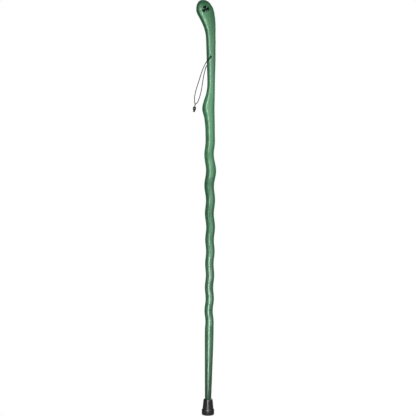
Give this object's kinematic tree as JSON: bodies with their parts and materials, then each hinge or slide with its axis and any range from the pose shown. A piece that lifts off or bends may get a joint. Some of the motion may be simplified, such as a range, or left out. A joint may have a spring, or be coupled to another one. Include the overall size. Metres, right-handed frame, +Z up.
{
  "type": "hiking staff",
  "caption": "Twisted wooden hiking staff with a flattened carved head, clover inlay, thumb swell, corded wrist loop with a sliding bead, and a pull-off rubber ferrule.",
  "frame": {"origin": "middle of the ferrule's sole, where the staff meets the ground", "axes": "+Z up along the staff to the head, -Y towards the face of the head, +X to the right of someone who looks at that face"},
  "size_m": [0.0806, 0.0416, 1.397],
  "materials": {
    "stained_wood": "green stain under gloss lacquer",
    "black_inlay": "gloss, under the lacquer",
    "black_cord": "braided",
    "black_bead": "polished",
    "black_rubber": "moulded, satin",
    "steel": "plain"
  },
  "bodies": {
    "staff": {"staff": "stained_wood", "clover_inlay": "black_inlay"},
    "wrist_loop": {"wrist_cord_front": "black_cord", "wrist_cord_rear": "black_cord", "cord_knot": "black_cord"},
    "bead": {"cord_bead": "black_bead"},
    "ferrule": {"ferrule": "black_rubber", "ferrule_washer": "steel"}
  },
  "joints": [
    {"name": "wrist_loop_swing", "type": "hinge", "parent": "staff", "child": "wrist_loop", "pos_m": [0, 0, 1.204], "axis": [0, 1, 0], "range_deg": [-4, 120]},
    {"name": "bead_slide", "type": "slide", "parent": "wrist_loop", "child": "bead", "axis": [0.124, 0, 0.9923], "range_m": [0, 0.005]},
    {"name": "ferrule_pull", "type": "slide", "parent": "staff", "child": "ferrule", "axis": [0, 0, -1], "range_m": [0, 0.05]}
  ]
}
